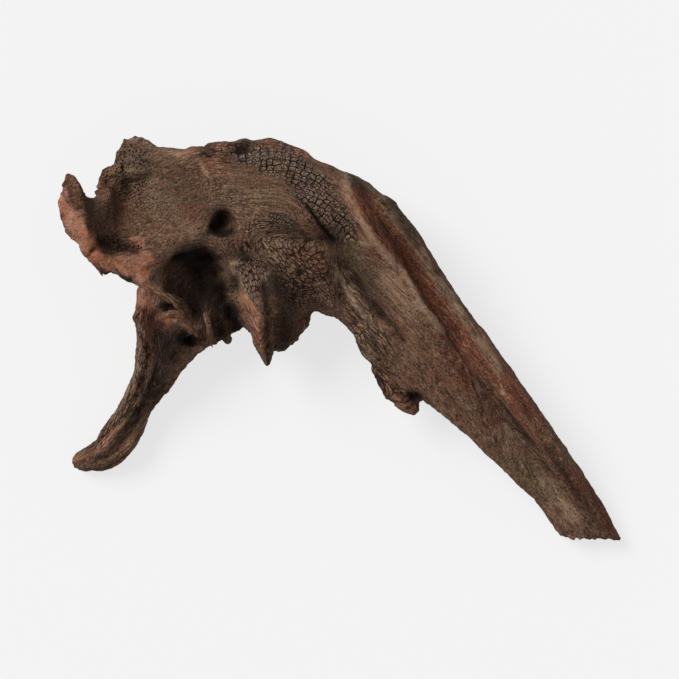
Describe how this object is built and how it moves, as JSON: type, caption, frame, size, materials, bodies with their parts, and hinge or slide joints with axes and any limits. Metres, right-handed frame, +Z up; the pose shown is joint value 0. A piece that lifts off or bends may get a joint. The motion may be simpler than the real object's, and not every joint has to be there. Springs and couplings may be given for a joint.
{
  "type": "driftwood piece",
  "caption": "Gnarled piece of driftwood: a hollowed root crown with a broken dish, a bent root leg, a short snag and a long tapering trunk.",
  "frame": {"origin": "middle of the bounding box in plan, at the surface that the wood lies on", "axes": "+X from the broken dish towards the trunk's tip, +Y from the foot towards the crown, +Z up, away from the surface"},
  "size_m": [0.396, 0.2848, 0.0864],
  "materials": {
    "weathered_wood": "dull weathered dark brown wood, checked across the grain, with reddish broken faces"
  },
  "bodies": {
    "root": {"driftwood": "weathered_wood"}
  },
  "joints": []
}
